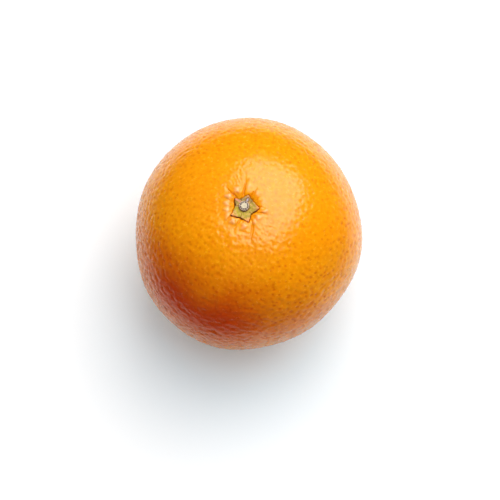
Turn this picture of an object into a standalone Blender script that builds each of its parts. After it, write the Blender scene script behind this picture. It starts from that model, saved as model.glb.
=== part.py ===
"""A whole sweet orange, standing on its blossom end with its stem end up.

Three solids make it: the fruit in its pitted peel, the five-pointed calyx that lies in the
hollow of the stem end, and the cut stub of the stem that stands on the calyx.
Lengths are in metres and +Z is up. The shapes are worked out about the fruit's middle, and an
empty then carries them so that the origin is on the surface the fruit rests on, under the
middle of its outline.
"""

import math
import random

import bmesh
import bpy
from mathutils import Vector

MM = 0.001

# The fruit: a ball a little wider than it is tall, with shoulders slightly fuller than an ellipse's.
MEAN_RADIUS = 38.0 * MM
TOP_HALF = 36.6 * MM
BOTTOM_HALF = 37.0 * MM
FULLNESS = 2.12
FOOT_RADIUS = 8.5 * MM
STEM_OFFSET = -1.1 * MM

# The outline seen from above: count of waves round it, height as a share of the radius, and the
# bearing of a crest in degrees. Bearings run anticlockwise from +X.
OUTLINE_WAVES = (
    (2, 0.0139, 68.0),
    (3, 0.0101, 351.0),
    (4, 0.0053, 340.0),
    (5, 0.0022, 358.0),
    (7, 0.0027, 355.0),
    (8, 0.0027, 345.0),
)

# The stem end: a shallow hollow, a ring of knobs in it, and furrows that part the knobs.
HOLLOW_DEPTH = 2.1 * MM
HOLLOW_REACH = 8.5 * MM
KNOB_RISE = 0.65 * MM
KNOB_RING = 6.0 * MM
KNOB_SPREAD = 1.9 * MM
# Each furrow: bearing in degrees, then depth and reach from the stem's axis in millimetres.
FURROWS = (
    (2.0, 0.45, 11.0),
    (30.0, 0.40, 9.0),
    (58.0, 0.70, 9.5),
    (94.0, 0.60, 14.0),
    (130.0, 0.60, 10.0),
    (168.0, 0.45, 9.0),
    (210.0, 0.50, 9.0),
    (250.0, 0.45, 9.5),
    (292.0, 0.65, 17.0),
    (330.0, 0.60, 11.0),
)
FURROW_START = 3.0 * MM
FURROW_RUN_IN = 1.6 * MM
FURROW_WIDTH = 0.62 * MM
FURROW_SPREAD = 0.045

# The calyx: bearing in degrees and length in millimetres of each sepal, and its socket in the peel.
SEPALS = ((0.0, 5.1), (75.6, 4.4), (135.0, 4.7), (210.6, 4.9), (287.0, 5.0))
NOTCH_RADIUS = 2.7 * MM
CALYX_THICKNESS = 0.85 * MM
TIP_THICKNESS = 0.6 * MM
CALYX_COLUMNS = 60
CALYX_ROWS = 12
SOCKET_DEPTH = 0.75 * MM
SOCKET_CLEARANCE = 0.45 * MM
SOCKET_WALL = 0.9 * MM
CLEARANCE = 0.3 * MM

# The stem's stub: a woody disc with a rounded ring of bark, a groove inside it and a boss of pith.
STUB_RADIUS = 1.65 * MM
STUB_HEIGHT = 0.75 * MM
STUB_OFFSET = 0.4 * MM
STUB_LEAN = math.radians(3)
BARK_WIDTH = 0.44 * MM
GROOVE_DEPTH = 0.22 * MM
GROOVE_WIDTH = 0.24 * MM
BARK_STEPS = 6
STUB_STEPS = 32
MERGE_DISTANCE = 1e-5

# The blossom end: a small dimple where the flower's style stood, inside the flat foot.
SCAR_RADIUS = 2.6 * MM
SCAR_DEPTH = 0.55 * MM

# The oil glands' pits are larger than life, about 5 mm apart, so that the solid can hold them.
PIT_COUNT = 700
PIT_DEPTHS = (0.38 * MM, 0.66 * MM)
PIT_RADII = (1.4 * MM, 1.95 * MM)
PIT_SIDES = 6
PIT_JITTER = 0.13
PIT_FREE_STEM = 13.0 * MM
PIT_FREE_FOOT = 9.5 * MM
PIT_RUN_IN = 3.5 * MM
GOLDEN_ANGLE = math.pi * (3 - math.sqrt(5))
SEED = 11

# Spacing of the skin's points near the two poles, where rings of points take over from the pits.
STEM_SPACING = 0.78 * MM
STEM_SPACING_GROWTH = 0.085
FOOT_RINGS = (1.3 * MM, 2.6 * MM, 3.9 * MM, 6.2 * MM, FOOT_RADIUS)
FOOT_SPACING = 1.7 * MM
FEWEST_IN_RING = 6

PEEL_FINISH = ((0.91, 0.29, 0.012, 1.0), 0.35)
CALYX_FINISH = ((0.43, 0.40, 0.10, 1.0), 0.65)
STUB_FINISH = ((0.46, 0.38, 0.27, 1.0), 0.85)


def smooth_step(value):
    """0 below 0, 1 above 1, and an even S between them."""
    held = min(max(value, 0.0), 1.0)
    return held * held * (3 - 2 * held)


def outline_swell(bearing):
    """How far the outline stands out of a circle at a bearing, as a share of its radius."""
    return sum(
        share * math.cos(count * (bearing - math.radians(crest)))
        for count, share, crest in OUTLINE_WAVES
    )


def bare_point(polar, bearing):
    """The peel without its relief, at a polar angle from the stem and a bearing round it."""
    level, upright = math.sin(polar), math.cos(polar)
    half_height = TOP_HALF if upright > 0 else BOTTOM_HALF
    across = (level / MEAN_RADIUS) ** FULLNESS
    along = (abs(upright) / half_height) ** FULLNESS
    reach = (across + along) ** (-1 / FULLNESS) * (1 + outline_swell(bearing) * level**2)
    lean = STEM_OFFSET * max(upright, 0.0) ** 2
    return Vector(
        (
            reach * level * math.cos(bearing) + lean,
            reach * level * math.sin(bearing),
            reach * upright,
        )
    )


def bare_height(distance, half_height):
    """Height of the bare peel above the fruit's middle, at a distance from a pole's axis."""
    return half_height * (1 - (distance / MEAN_RADIUS) ** FULLNESS) ** (1 / FULLNESS)


def star_radius(bearing):
    """The calyx's outline: straight edges from each sepal's tip to the notch half way to the next tip."""
    tips = [(math.radians(degrees), length * MM) for degrees, length in SEPALS]
    turn = bearing % math.tau
    first = sum(tip <= turn for tip, _ in tips) - 1
    start, length = tips[first]
    end, length_after = tips[(first + 1) % len(tips)]
    half_gap = ((end - start) % math.tau) / 2
    from_tip = turn - start
    if from_tip > half_gap:
        from_tip, length = 2 * half_gap - from_tip, length_after
    slant = length * math.sin(from_tip) + NOTCH_RADIUS * math.sin(half_gap - from_tip)
    return length * NOTCH_RADIUS * math.sin(half_gap) / slant


def furrow_depth(distance, bearing):
    """How deep the furrows between the knobs are at this place."""
    run_in = smooth_step((distance - FURROW_START) / FURROW_RUN_IN)
    width = FURROW_WIDTH + FURROW_SPREAD * distance
    total = 0.0
    for degrees, depth, reach in FURROWS:
        turned = bearing - math.radians(degrees)
        if math.cos(turned) > 0:
            sideways = distance * math.sin(turned)
            run_out = 1 - smooth_step(2 * distance / (reach * MM) - 1)
            total += depth * MM * run_out * math.exp(-((sideways / width) ** 2))
    return run_in * total


def calyx_bed(distance):
    """Height that the hollow and the ring of knobs add to the bare peel, the same all round."""
    hollow = HOLLOW_DEPTH * math.exp(-((distance / HOLLOW_REACH) ** 2))
    knobs = KNOB_RISE * math.exp(-(((distance - KNOB_RING) / KNOB_SPREAD) ** 2))
    return knobs - hollow


def stem_relief(distance, bearing):
    """Height that the stem end adds to the bare peel: the bed less the calyx's socket and the furrows."""
    beyond_star = distance - star_radius(bearing) - SOCKET_CLEARANCE
    socket = SOCKET_DEPTH * (1 - smooth_step(beyond_star / SOCKET_WALL))
    return calyx_bed(distance) - socket - furrow_depth(distance, bearing)


def peel_point(polar, bearing, pit_depth):
    """The finished peel: the bare one with the stem end's relief, the foot, the scar and the pits."""
    point = bare_point(polar, bearing)
    if polar < math.pi / 2:
        distance = math.hypot(point.x - STEM_OFFSET, point.y)
        point.z += stem_relief(distance, bearing)
        shown = smooth_step((distance - PIT_FREE_STEM) / PIT_RUN_IN)
    else:
        distance = math.hypot(point.x, point.y)
        point.z = max(point.z, -bare_height(FOOT_RADIUS, BOTTOM_HALF))
        point.z += SCAR_DEPTH * (1 - smooth_step(distance / SCAR_RADIUS))
        shown = smooth_step((distance - PIT_FREE_FOOT) / PIT_RUN_IN)
    return point - point.normalized() * (pit_depth * shown)


def on_ball(polar, bearing):
    """A point of the unit ball."""
    level = math.sin(polar)
    return Vector((level * math.cos(bearing), level * math.sin(bearing), math.cos(polar)))


def ring_points(distance, half_height, spacing, stagger):
    """Points of the unit ball that end up in a ring at this distance from the axis, a spacing apart."""
    polar = math.asin(distance / half_height)
    count = max(FEWEST_IN_RING, round(math.tau * distance / spacing))
    return [on_ball(polar, math.tau * (step + stagger / 2) / count) for step in range(count)]


def stem_points():
    """Rings from the stem's axis out to the first pits, closest together round the calyx."""
    points = [on_ball(0.0, 0.0)]
    distance, stagger = STEM_SPACING, 0
    while distance < PIT_FREE_STEM:
        spacing = STEM_SPACING + STEM_SPACING_GROWTH * max(0.0, distance - KNOB_RING)
        points += ring_points(distance, TOP_HALF, spacing, stagger)
        distance += spacing * math.sqrt(3) / 2
        stagger = 1 - stagger
    return points


def foot_points():
    """Rings under the fruit, the last of them on the foot's edge."""
    points = [on_ball(math.pi, 0.0)]
    for number, distance in enumerate(FOOT_RINGS):
        ring = ring_points(distance, BOTTOM_HALF, FOOT_SPACING, number % 2)
        points += [Vector((point.x, point.y, -point.z)) for point in ring]
    return points


def pit_middles(draw):
    """Middles of the pits on the unit ball: an even spiral from the stem to the foot, moved at random."""
    top = math.sqrt(1 - ((PIT_FREE_STEM + PIT_RADII[1]) / TOP_HALF) ** 2)
    bottom = -math.sqrt(1 - ((PIT_FREE_FOOT + PIT_RADII[1]) / BOTTOM_HALF) ** 2)
    drop = (top - bottom) / PIT_COUNT
    most_moved = PIT_JITTER * math.sqrt(math.tau * drop)
    middles = []
    for number in range(PIT_COUNT):
        place = on_ball(math.acos(top - drop * (number + 0.5)), number * GOLDEN_ANGLE)
        moved = Vector([draw.uniform(-most_moved, most_moved) for _ in range(3)])
        middles.append((place + moved).normalized())
    return middles


def pit_rim(middle, draw):
    """Points of the unit ball in a ring round a pit, of a size and turn drawn at random."""
    reach = draw.uniform(*PIT_RADII) / MEAN_RADIUS
    turn = draw.uniform(0.0, math.tau)
    aside = middle.orthogonal().normalized()
    across = middle.cross(aside)
    rim = []
    for side in range(PIT_SIDES):
        angle = turn + math.tau * side / PIT_SIDES
        out = aside * math.cos(angle) + across * math.sin(angle)
        rim.append((middle + out * reach).normalized())
    return rim


def pitted_ball():
    """A unit ball of triangles, and the depth of the pit at each vertex that is the middle of one.

    All its points lie on the ball, so a convex hull joins every one of them to its neighbours.
    """
    draw = random.Random(SEED)
    skin = bmesh.new()
    depths = {}
    for middle in pit_middles(draw):
        depths[skin.verts.new(middle)] = draw.uniform(*PIT_DEPTHS)
        for point in pit_rim(middle, draw):
            skin.verts.new(point)
    for point in stem_points() + foot_points():
        skin.verts.new(point)
    bmesh.ops.convex_hull(skin, input=skin.verts)
    return skin, depths


def link(name, data, collection, whole, finish):
    """An object of this mesh in the collection, carried by the whole, in its own material."""
    item = bpy.data.objects.new(name, data)
    collection.objects.link(item)
    item.parent = whole
    colour, roughness = finish
    material = bpy.data.materials.new(name)
    material.use_nodes = True
    shader = material.node_tree.nodes["Principled BSDF"]
    shader.inputs["Base Color"].default_value = colour
    shader.inputs["Roughness"].default_value = roughness
    shader.inputs["Metallic"].default_value = 0.0
    material.diffuse_color = colour
    data.materials.append(material)
    data.shade_smooth()
    return item


def mesh_from(name, shape):
    """A mesh with this bmesh's faces, turned to point outwards."""
    bmesh.ops.recalc_face_normals(shape, faces=shape.faces)
    mesh = bpy.data.meshes.new(name)
    shape.to_mesh(mesh)
    shape.free()
    return mesh


def fruit_mesh():
    """The fruit as one solid: the pitted ball moved out to the peel."""
    skin, depths = pitted_ball()
    for vertex in skin.verts:
        x, y, z = vertex.co
        polar = math.atan2(math.hypot(x, y), z)
        vertex.co = peel_point(polar, math.atan2(y, x), depths.get(vertex, 0.0))
    return mesh_from("fruit", skin)


def calyx_bearing(turn):
    """A column's bearing, stretched so that every sepal's tip and every notch falls on a column."""
    sepal, share = divmod(turn % math.tau / math.tau * len(SEPALS), 1)
    start = SEPALS[int(sepal)][0]
    end = SEPALS[(int(sepal) + 1) % len(SEPALS)][0]
    return math.radians(start + (end - start) % 360 * share)


def calyx_underside(distance):
    """Height of the calyx's underside: a clearance above the floor of its socket."""
    return bare_height(distance, TOP_HALF) + calyx_bed(distance) - SOCKET_DEPTH + CLEARANCE


def calyx_mesh():
    """The calyx: a ball pressed into a thin five-pointed star that follows the hollow."""
    star = bmesh.new()
    bmesh.ops.create_uvsphere(
        star, u_segments=CALYX_COLUMNS, v_segments=CALYX_ROWS, radius=1.0
    )
    for vertex in star.verts:
        level = min(math.hypot(vertex.co.x, vertex.co.y), 1.0)
        bearing = calyx_bearing(math.atan2(vertex.co.y, vertex.co.x))
        distance = level * star_radius(bearing)
        thickness = CALYX_THICKNESS + (TIP_THICKNESS - CALYX_THICKNESS) * level**2
        side = math.copysign(math.sqrt(abs(vertex.co.z)), vertex.co.z)
        rise = thickness * (1 + side) / 2
        vertex.co = (
            STEM_OFFSET + distance * math.cos(bearing),
            distance * math.sin(bearing),
            calyx_underside(distance) + rise,
        )
    return mesh_from("calyx", star)


def stub_profile():
    """Half section of the stub from the top down: the pith, the groove, the rounded bark, the outer side."""
    bark = BARK_WIDTH / 2
    crown = STUB_RADIUS - bark
    shoulder = STUB_HEIGHT - bark
    groove = crown - bark - GROOVE_WIDTH
    points = [
        (0.0, STUB_HEIGHT),
        (groove / 2, STUB_HEIGHT - GROOVE_DEPTH / 8),
        (groove, STUB_HEIGHT - GROOVE_DEPTH / 2),
        (groove + GROOVE_WIDTH / 2, STUB_HEIGHT - GROOVE_DEPTH),
    ]
    for step in range(BARK_STEPS + 1):
        turn = math.pi * (1 - step / BARK_STEPS)
        points.append((crown + bark * math.cos(turn), shoulder + bark * math.sin(turn)))
    return points + [(STUB_RADIUS, 0.0), (0.0, 0.0)]


def stub_mesh():
    """The stub's half section, as an open line for the Screw modifier."""
    profile = stub_profile()
    mesh = bpy.data.meshes.new("stem_stub")
    edges = [(number, number + 1) for number in range(len(profile) - 1)]
    mesh.from_pydata([(across, 0.0, up) for across, up in profile], edges, [])
    return mesh


def turn_round(item):
    """Spins an object's half section into a solid."""
    screw = item.modifiers.new("Turned", "SCREW")
    screw.steps = STUB_STEPS
    screw.render_steps = STUB_STEPS
    screw.use_merge_vertices = True
    screw.merge_threshold = MERGE_DISTANCE
    screw.use_smooth_shade = True


def settle(whole, fruit):
    """Moves the whole so that the fruit stands on z = 0 with the middle of its outline over the origin."""
    corners = [vertex.co for vertex in fruit.data.vertices]
    for axis in (0, 1):
        side = [corner[axis] for corner in corners]
        whole.location[axis] = -(min(side) + max(side)) / 2
    whole.location.z = -min(corner.z for corner in corners)


def main():
    """Clears the scene and builds the orange."""
    for old in list(bpy.data.objects):
        bpy.data.objects.remove(old)
    collection = bpy.data.collections.new("orange")
    bpy.context.scene.collection.children.link(collection)
    whole = bpy.data.objects.new("orange", None)
    collection.objects.link(whole)

    fruit = link("fruit", fruit_mesh(), collection, whole, PEEL_FINISH)
    link("calyx", calyx_mesh(), collection, whole, CALYX_FINISH)
    stub = link("stem_stub", stub_mesh(), collection, whole, STUB_FINISH)
    turn_round(stub)
    edge = STUB_RADIUS + STUB_OFFSET
    stub.location = (
        STEM_OFFSET,
        STUB_OFFSET,
        calyx_underside(edge) + CALYX_THICKNESS + CLEARANCE,
    )
    stub.rotation_euler.x = STUB_LEAN
    settle(whole, fruit)


main()
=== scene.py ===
"""A whole orange on a pale floor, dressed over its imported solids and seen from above.

Lengths are in metres and +Z is up. The peel, the calyx and the stem's stub are surfaces worked
out about the fruit's middle, as the solids are, and then carried to the solids' place.
"""

from __future__ import annotations

import logging
import math
from dataclasses import dataclass, field
from enum import Enum

import bpy
import numpy as np
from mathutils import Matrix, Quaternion, Vector


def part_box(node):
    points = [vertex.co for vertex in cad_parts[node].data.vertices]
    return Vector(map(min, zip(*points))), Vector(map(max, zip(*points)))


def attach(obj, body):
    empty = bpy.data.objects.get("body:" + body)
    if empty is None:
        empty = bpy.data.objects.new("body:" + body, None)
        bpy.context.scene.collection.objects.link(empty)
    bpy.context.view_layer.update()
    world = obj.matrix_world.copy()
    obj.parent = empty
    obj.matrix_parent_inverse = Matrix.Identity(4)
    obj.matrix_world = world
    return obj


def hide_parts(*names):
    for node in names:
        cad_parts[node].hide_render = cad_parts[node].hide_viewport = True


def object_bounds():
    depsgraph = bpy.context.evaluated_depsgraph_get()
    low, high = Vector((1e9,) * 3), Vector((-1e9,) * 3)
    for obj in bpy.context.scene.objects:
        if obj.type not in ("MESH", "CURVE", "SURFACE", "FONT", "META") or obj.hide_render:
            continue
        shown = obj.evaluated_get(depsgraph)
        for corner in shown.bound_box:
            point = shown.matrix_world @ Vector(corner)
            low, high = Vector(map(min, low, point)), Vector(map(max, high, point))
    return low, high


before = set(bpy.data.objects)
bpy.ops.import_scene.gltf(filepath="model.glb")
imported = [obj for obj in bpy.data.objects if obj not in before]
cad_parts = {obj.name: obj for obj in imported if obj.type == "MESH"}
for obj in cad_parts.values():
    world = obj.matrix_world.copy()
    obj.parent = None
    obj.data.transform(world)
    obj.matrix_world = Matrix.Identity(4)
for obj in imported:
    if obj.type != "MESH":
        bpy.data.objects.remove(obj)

CAD_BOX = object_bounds()
MM = 0.001
BODY = "root"
LOG = logging.getLogger("orange")

# A distance beyond all relief, in metres, and the part of its range that most of a noise is in.
FAR = 1.0
NOISE_MOST = (0.3, 0.7)

# The two ends of a range, in the order in which it runs.
Span = tuple[float, float]
# A place, a direction, or three numbers that a comment above them explains.
Triple = tuple[float, float, float]
# One number for each point of a piece, by the name of what it marks.
Masks = dict[str, np.ndarray]


class Node(Enum):
    """The solids that the pieces stand for."""

    FRUIT = "fruit"
    CALYX = "calyx"
    STUB = "stem_stub"


class Slot(Enum):
    """The record's material slots."""

    PEEL = "peel"
    CALYX = "calyx"
    STEM = "stem"


def ease(values: np.ndarray) -> np.ndarray:
    """0 below 0, 1 above 1, and an even S between them."""
    held = np.clip(values, 0.0, 1.0)
    return held * held * (3 - 2 * held)


def ramp(values: np.ndarray, span: Span) -> np.ndarray:
    """0 before the span, 1 beyond it, and an even S along it."""
    start, full = span
    return ease((values - start) / (full - start))


def blend(first: np.ndarray, second: np.ndarray, share: np.ndarray) -> np.ndarray:
    """What lies a share of the way from the first value to the second."""
    return first + (second - first) * share


def hump(values: np.ndarray) -> np.ndarray:
    """A bell of height 1 about 0: e to the power of minus the square."""
    return np.exp(-np.square(values))


def wave(turns: np.ndarray) -> np.ndarray:
    """A wave between 0 and 1: half of one plus the cosine."""
    return 0.5 + 0.5 * np.cos(turns)


def ripple(bearing: np.ndarray, waves: tuple[Triple, ...]) -> np.ndarray:
    """A sum of waves round an axis, from each one's count, height and phase: height x sin(count x
    bearing + phase)."""
    return sum(height * np.sin(count * bearing + phase) for count, height, phase in waves)


def turn_between(bearing: np.ndarray, degrees: float) -> np.ndarray:
    """The angle in degrees from a fixed bearing to each bearing, between -180 and 180."""
    return (np.degrees(bearing) - degrees + 180) % 360 - 180


def bells(bearing: np.ndarray, stretches: tuple[Triple, ...], sharpness: float = 2.0) -> np.ndarray:
    """A sum of bells round an axis: height x e to the power of -(turn / spread)^sharpness.

    Args:
        bearing: Angle round the axis.
        stretches: Each bell's bearing in degrees, spread in degrees and height.
        sharpness: 2 for a plain bell, and more for one with a flatter top.

    Returns:
        The sum.
    """
    return sum(
        height * np.exp(-np.abs(turn_between(bearing, degrees) / spread) ** sharpness)
        for degrees, spread, height in stretches
    )


def points_of(across: np.ndarray, along: np.ndarray, up: np.ndarray) -> np.ndarray:
    """Points from their X, Y and Z."""
    return np.stack(np.broadcast_arrays(across, along, up), axis=-1)


def unit_points(polar: np.ndarray, bearing: np.ndarray) -> np.ndarray:
    """Points of the unit ball, from their angle from +Z and their bearing."""
    level = np.sin(polar)
    return points_of(level * np.cos(bearing), level * np.sin(bearing), np.cos(polar))


def grid(rows: np.ndarray, columns: int) -> tuple[np.ndarray, np.ndarray]:
    """Each row's own value and each column's bearing, as two arrays of one shape."""
    return np.meshgrid(rows, np.arange(columns) * math.tau / columns, indexing="ij")


def lid_rows(top: int, side: int, under: int) -> tuple[np.ndarray, np.ndarray]:
    """Rows of points that run out over a lid, down its side and back under it.

    Args:
        top: Count of rows on the upper side.
        side: Count of rows down the side.
        under: Count of rows underneath.

    Returns:
        Each row's reach, from 0 at the axis to 1 at the edge, and its drop, from 0 on the upper
        side to 1 underneath.
    """
    out = np.linspace(0, 1, top + 1)[1:]
    back = np.linspace(1, 0, under + 2)[1:-1]
    down = np.linspace(0, 1, side + 1)[1:]
    reach = np.concatenate([out, np.ones(side), back])
    return reach, np.concatenate([np.zeros(top), down, np.ones(under)])


def wrapped_mesh(name: str, rings: np.ndarray) -> bpy.types.Mesh:
    """A closed surface: rings of points joined by quads, and a fan that closes each end.

    Args:
        name: The mesh's name.
        rings: Points by ring, then round the ring anticlockwise as seen from the first ring's end.

    Returns:
        The mesh, smooth and with its faces outwards. Its last two points are the fans' middles.
    """
    count, around, _ = rings.shape
    here = np.arange(count * around).reshape(count, around)
    after = np.roll(here, -1, axis=1)
    quads = np.stack([here[:-1], here[1:], after[1:], after[:-1]], axis=-1).reshape(-1)
    middle = np.full(around, count * around)
    first_fan = np.stack([middle, here[0], after[0]], axis=-1).reshape(-1)
    last_fan = np.stack([middle + 1, after[-1], here[-1]], axis=-1).reshape(-1)
    corners = np.concatenate([quads, first_fan, last_fan]).astype(np.int32)
    starts = np.concatenate([np.arange(0, len(quads), 4), np.arange(len(quads), len(corners), 3)])
    points = np.concatenate([rings.reshape(-1, 3), rings[[0, -1]].mean(axis=1)])

    mesh = bpy.data.meshes.new(name)
    mesh.vertices.add(len(points))
    mesh.vertices.foreach_set("co", points.astype(np.float32).reshape(-1))
    mesh.loops.add(len(corners))
    mesh.loops.foreach_set("vertex_index", corners)
    mesh.polygons.add(len(starts))
    mesh.polygons.foreach_set("loop_start", starts.astype(np.int32))
    mesh.update(calc_edges=True)
    mesh.validate()
    mesh.shade_smooth()
    return mesh


def add_piece(
    name: str,
    rings: np.ndarray,
    masks: Masks,
    material: bpy.types.Material,
    node: Node | None,
) -> None:
    """Puts a closed surface in the scene as a piece of the orange.

    Args:
        name: The piece's name.
        rings: Points by ring, already in their place.
        masks: One number for each point, by the name that the material reads it by.
        material: The piece's finish.
        node: The solid that the piece stands for, or None.
    """
    mesh = wrapped_mesh(name, rings)
    for label, values in masks.items():
        filled = np.concatenate([values.reshape(-1), values[[0, -1]].mean(axis=1)])
        mesh.attributes.new(label, "FLOAT", "POINT").data.foreach_set("value", filled.astype(np.float32))
    mesh.materials.append(material)
    piece = bpy.data.objects.new(name, mesh)
    bpy.context.scene.collection.objects.link(piece)
    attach(piece, BODY)
    if node:
        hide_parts(node.value)
    LOG.info("%s: %d points, %d faces", piece.name, len(mesh.vertices), len(mesh.polygons))


@dataclass(frozen=True)
class FruitForm:
    """The orange's bare form about its middle, before the stem end's relief and the pores."""

    mean_radius: float = 38.0 * MM
    top_half: float = 36.6 * MM
    bottom_half: float = 37.0 * MM
    fullness: float = 2.12
    foot_radius: float = 8.5 * MM
    stem_offset: float = -1.0 * MM
    # Count of waves round the outline, height as a share of the radius, bearing of a crest in degrees.
    outline_waves: tuple[Triple, ...] = (
        (2, 0.0139, 68.0),
        (3, 0.0101, 351.0),
        (4, 0.0053, 340.0),
        (5, 0.0022, 358.0),
        (7, 0.0027, 355.0),
        (8, 0.0027, 345.0),
    )

    def swell(self, bearing: np.ndarray) -> np.ndarray:
        """How far the outline stands out of a circle, as a share of its radius: a sum of waves."""
        return sum(
            share * np.cos(count * (bearing - math.radians(crest)))
            for count, share, crest in self.outline_waves
        )

    def surface(self, polar: np.ndarray, bearing: np.ndarray) -> np.ndarray:
        """Points of the bare peel.

        The section is a superellipse: (across / radius)^n + (up / half height)^n = 1. The waves of
        the outline fade towards the poles, and the top leans towards the stem's axis.

        Args:
            polar: Angle from the stem, in radians.
            bearing: Angle round the stem's axis from +X, in radians.

        Returns:
            The points, with X, Y and Z last.
        """
        level, upright = np.sin(polar), np.cos(polar)
        half_height = np.where(upright > 0, self.top_half, self.bottom_half)
        across = (np.abs(level) / self.mean_radius) ** self.fullness
        along = (np.abs(upright) / half_height) ** self.fullness
        reach = (across + along) ** (-1 / self.fullness) * (1 + self.swell(bearing) * level**2)
        points = unit_points(polar, bearing) * reach[..., None]
        points[..., 0] += self.stem_offset * np.maximum(upright, 0.0) ** 2
        return points

    def height(self, distance: np.ndarray, half_height: float) -> np.ndarray:
        """How far above or below the middle the bare peel is, at a distance from a pole's axis."""
        share = np.minimum(distance / self.mean_radius, 1.0) ** self.fullness
        return half_height * (1 - share) ** (1 / self.fullness)

    def foot_depth(self) -> float:
        """How far below the middle the flat foot is."""
        return float(self.height(self.foot_radius, self.bottom_half))


@dataclass(frozen=True)
class StemEnd:
    """The shallow hollow round the stem: its knobs, furrows and folds, and the calyx's socket."""

    hollow_depth: float = 1.9 * MM
    hollow_reach: float = 4.8 * MM
    ring_rise: float = 0.34 * MM
    ring_reach: float = 5.0 * MM
    ring_spread: float = 1.5 * MM
    knob_rise: float = 0.40 * MM
    knob_size: float = 0.98 * MM
    knob_stretch: float = 1.15
    knob_sharpness: float = 2.2
    knob_bend: float = 0.2 * MM
    knob_bend_length: float = 0.31 * MM
    knob_bend_count: int = 21
    # Bearing in degrees, distance from the axis in millimetres and height as a share of the rise.
    knobs: tuple[Triple, ...] = (
        (-170.0, 5.5, 1.0),
        (-150.0, 6.3, 0.7),
        (-128.0, 5.8, 1.3),
        (-91.0, 6.3, 1.3),
        (-55.0, 5.9, 0.9),
        (-36.0, 5.7, 1.1),
        (-12.0, 7.0, 1.1),
        (15.0, 6.4, 0.6),
        (47.0, 6.4, 0.8),
        (79.0, 7.1, 0.8),
        (112.0, 6.1, 1.4),
        (145.0, 6.0, 1.4),
        (170.0, 5.6, 1.0),
    )
    # Bearing in degrees, depth and reach in millimetres, and how far it wanders in degrees.
    furrows: tuple[tuple[float, float, float, float], ...] = (
        (2.0, 0.24, 9.0, 5.0),
        (30.0, 0.24, 8.5, -4.0),
        (60.0, 0.45, 8.5, 3.0),
        (90.0, 0.46, 11.5, 3.0),
        (129.0, 0.60, 10.0, -3.0),
        (158.0, 0.24, 8.0, 4.0),
        (181.0, 0.18, 7.5, 3.0),
        (214.0, 0.30, 9.0, -4.0),
        (250.0, 0.30, 10.0, 4.0),
        (290.0, 0.30, 15.0, 9.0),
        (313.0, 0.22, 8.0, 3.0),
        (338.0, 0.30, 10.0, -3.0),
    )
    furrow_run_in: Span = (3.0 * MM, 4.6 * MM)
    # Shares of a furrow's reach between which it runs out.
    furrow_run_out: Span = (0.5, 1.0)
    furrow_width: float = 0.22 * MM
    furrow_spread: float = 0.018
    furrow_sharpness: float = 1.6
    # Bearing in degrees and distance in millimetres of each sepal's tip and of the notch after it.
    corners: tuple[tuple[float, float], ...] = (
        (-6.0, 4.8),
        (36.0, 3.4),
        (74.0, 4.2),
        (110.0, 2.9),
        (137.5, 4.1),
        (164.5, 2.7),
        (213.5, 4.9),
        (250.0, 3.4),
        (286.0, 5.1),
        (318.0, 2.95),
    )
    # Count of waves, height as a share of the distance, and phase.
    ragged: tuple[Triple, ...] = ((17, 0.02, 1.0), (41, 0.014, 2.0))
    socket_depth: float = 0.8 * MM
    socket_wall: float = 0.34 * MM
    narrow_gap: float = 0.04 * MM
    wide_gap: float = 0.22 * MM
    # Bearing in degrees, spread in degrees, and width as a share of the wide gap.
    wide_places: tuple[Triple, ...] = ((245.0, 32.0, 1.0), (332.0, 17.0, 0.8), (158.0, 17.0, 1.3))
    fold_height: float = 0.034 * MM
    fold_terms: int = 24
    fold_counts: tuple[int, int] = (16, 66)
    fold_most_slant: float = 2.4
    fold_seed: int = 5
    fold_least: float = 0.22
    # Bearing in degrees, spread in degrees and strength.
    fold_places: tuple[Triple, ...] = ((-47.0, 26.0, 1.0), (100.0, 34.0, 0.5), (240.0, 30.0, 0.4))
    # Counts round the stem, and lengths outwards for each radian, of the two waves that make patches.
    patch_counts: tuple[int, int] = (7, 4)
    patch_lengths: tuple[float, float] = (1.7 * MM, 2.3 * MM)
    patch_least: float = 0.15
    fold_run_in: Span = (4.5 * MM, 8.5 * MM)
    fold_middle: float = 9.0 * MM
    fold_reach: float = 7.0 * MM
    # Bearing in degrees, spread in degrees and darkness of the stretches where a painted shadow darkens the
    # calyx's edge.
    shadowed_edges: tuple[Triple, ...] = (
        (156.0, 18.0, 0.9),
        (213.0, 5.0, 0.9),
        (245.0, 24.0, 0.95),
        (341.0, 13.0, 0.8),
    )
    shadow_sharpness: float = 4.0
    faint_edge: float = 0.1
    edge_unevenness: float = 0.3
    edge_counts: tuple[int, int] = (13, 31)
    edge_phase: float = 1.0

    def star(self, bearing: np.ndarray) -> np.ndarray:
        """The calyx's outline: a straight edge from each corner to the next, a little ragged.

        Args:
            bearing: Angle round the stem's axis.

        Returns:
            The outline's distance from the axis.
        """
        turns = np.radians([degrees for degrees, _ in self.corners])
        distances = np.array([away * MM for _, away in self.corners])
        turn = (bearing - turns[0]) % math.tau + turns[0]
        first = np.searchsorted(turns, turn, side="right") - 1
        second = (first + 1) % len(turns)
        between = (turns[second] - turns[first]) % math.tau
        passed = turn - turns[first]
        start, end = distances[first], distances[second]
        slant = start * np.sin(passed) + end * np.sin(between - passed)
        return (1 + ripple(turn, self.ragged)) * start * end * np.sin(between) / slant

    def bed(self, distance: np.ndarray) -> np.ndarray:
        """Height that the hollow and the low ring round it add to the bare peel."""
        hollow = self.hollow_depth * hump(distance / self.hollow_reach)
        return self.ring_rise * hump((distance - self.ring_reach) / self.ring_spread) - hollow

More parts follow.
